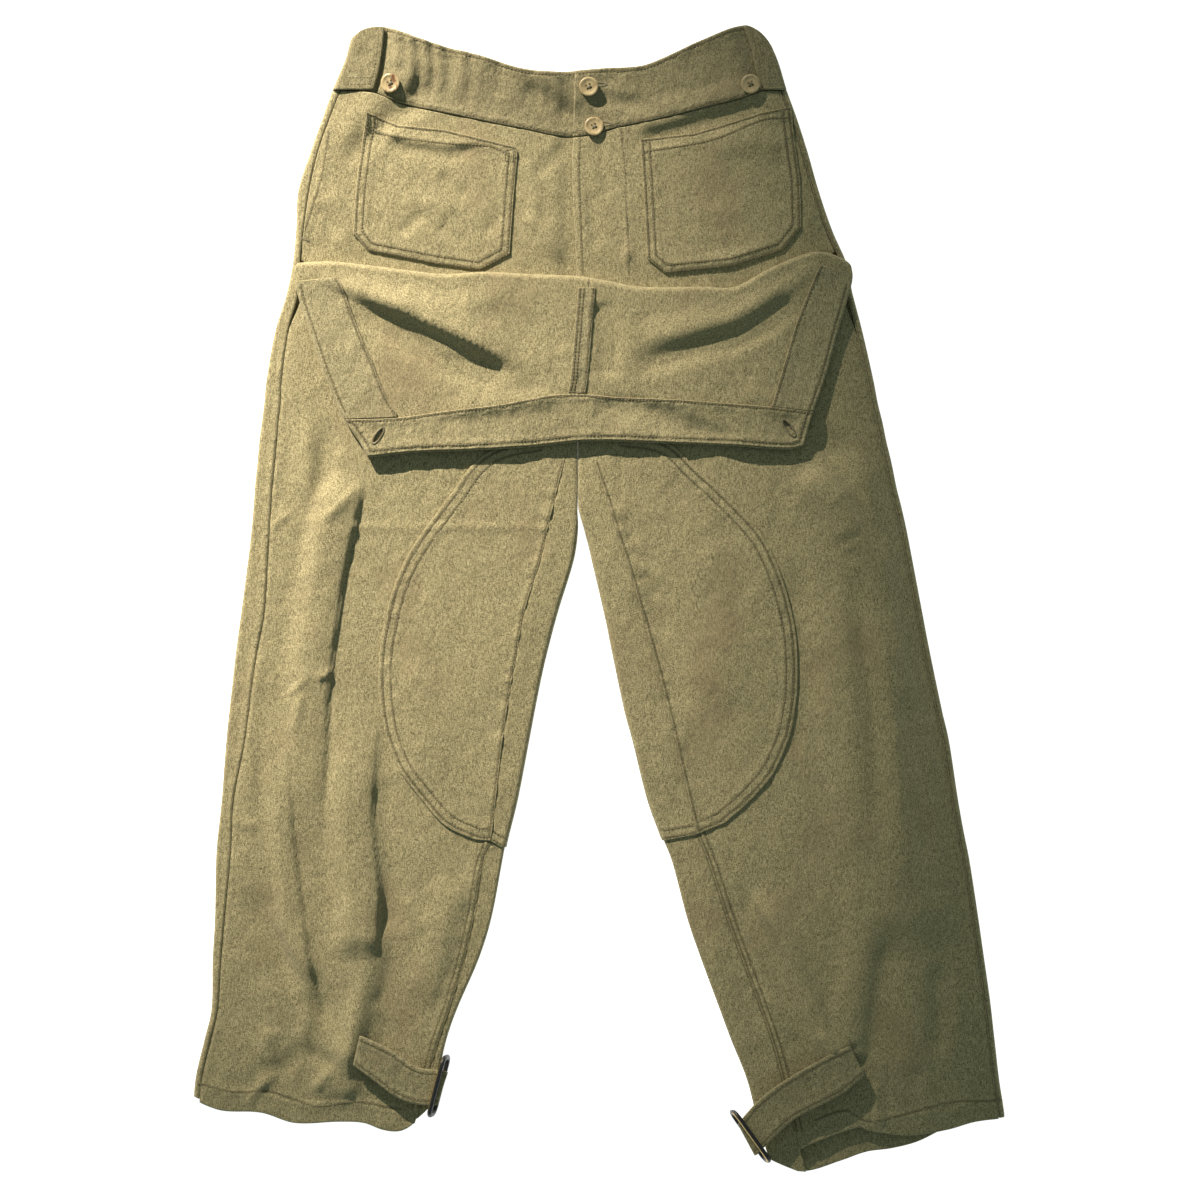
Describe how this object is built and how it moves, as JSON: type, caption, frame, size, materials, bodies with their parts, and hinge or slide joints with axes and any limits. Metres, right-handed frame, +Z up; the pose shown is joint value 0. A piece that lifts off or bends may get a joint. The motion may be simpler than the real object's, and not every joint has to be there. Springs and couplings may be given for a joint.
{
  "type": "jodhpurs",
  "caption": "Khaki cotton twill fall-front jodhpurs laid flat, fall turned down, with inner-knee patches and buckled ankle straps.",
  "frame": {"origin": "on the surface that the garment lies on, under the middle of its outline", "axes": "+Y from the ankles to the waist along the laid-out length, +X across towards the wearer's left leg, +Z up from the surface through the front"},
  "size_m": [0.7102, 1.0039, 0.0239],
  "materials": {
    "twill": "heathered heavy cotton twill, matt, slightly slubbed",
    "twill_inside": "inside of the same heathered twill, matt",
    "twill_strap": "doubled and edge-stitched strap of the same twill, matt",
    "button_horn": "mottled horn, satin to gloss",
    "buckle_metal": "black lacquer over brass, rubbed to bare metal along the upper edge"
  },
  "bodies": {
    "root": {"front_left": "twill", "front_right": "twill", "back_left": "twill", "back_right": "twill", "bearer_left": "twill", "bearer_right": "twill", "waistband_front_left": "twill", "waistband_front_right": "twill", "waistband_back": "twill", "pocket_left": "twill", "pocket_right": "twill", "fall_facing_left": "twill_inside", "fall_facing_right": "twill_inside", "fall_band_left": "twill_inside", "fall_band_right": "twill_inside", "fall_centre_seam": "twill_inside", "knee_patch_left": "twill", "knee_patch_inner_left": "twill", "knee_patch_right": "twill", "knee_patch_inner_right": "twill", "strap_left": "twill_strap", "strap_right": "twill_strap", "buckle_left": "buckle_metal", "buckle_right": "buckle_metal", "button_fly_upper": "button_horn", "button_fly_lower": "button_horn", "button_side_left": "button_horn", "button_side_right": "button_horn"}
  },
  "joints": []
}
